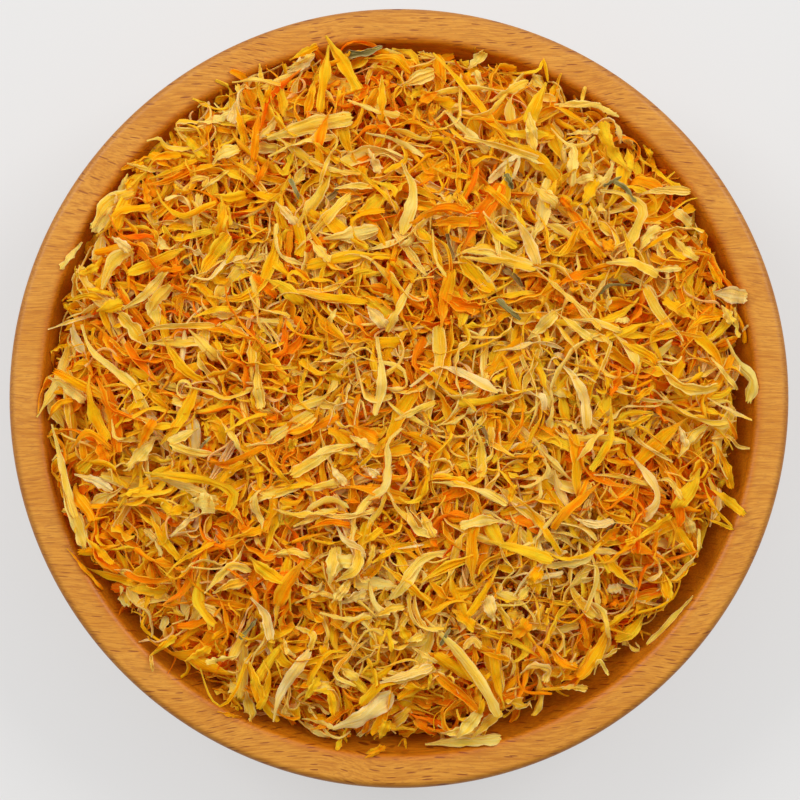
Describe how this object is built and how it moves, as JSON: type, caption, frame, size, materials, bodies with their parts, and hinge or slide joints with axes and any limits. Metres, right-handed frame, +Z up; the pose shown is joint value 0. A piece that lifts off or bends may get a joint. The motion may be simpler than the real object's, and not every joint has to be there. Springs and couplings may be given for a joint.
{
  "type": "bowl of dried marigold petals",
  "caption": "Round turned wooden bowl with a flat rim, heaped with loose dried marigold petals that stand a little above the rim.",
  "frame": {"origin": "centre of the bowl's flat foot, on the surface that it stands on", "axes": "+Z up out of the bowl; +X along the wood's grain, to the right in the picture; +Y to the top of the picture"},
  "size_m": [0.2, 0.2, 0.0649],
  "materials": {
    "beech": "oiled, satin, with short dark ray flecks along the grain",
    "dried_petals": "matt, dry and slightly translucent, golden yellow to deep orange"
  },
  "bodies": {
    "root": {"bowl": "beech", "petal_heap": "dried_petals"}
  },
  "joints": []
}
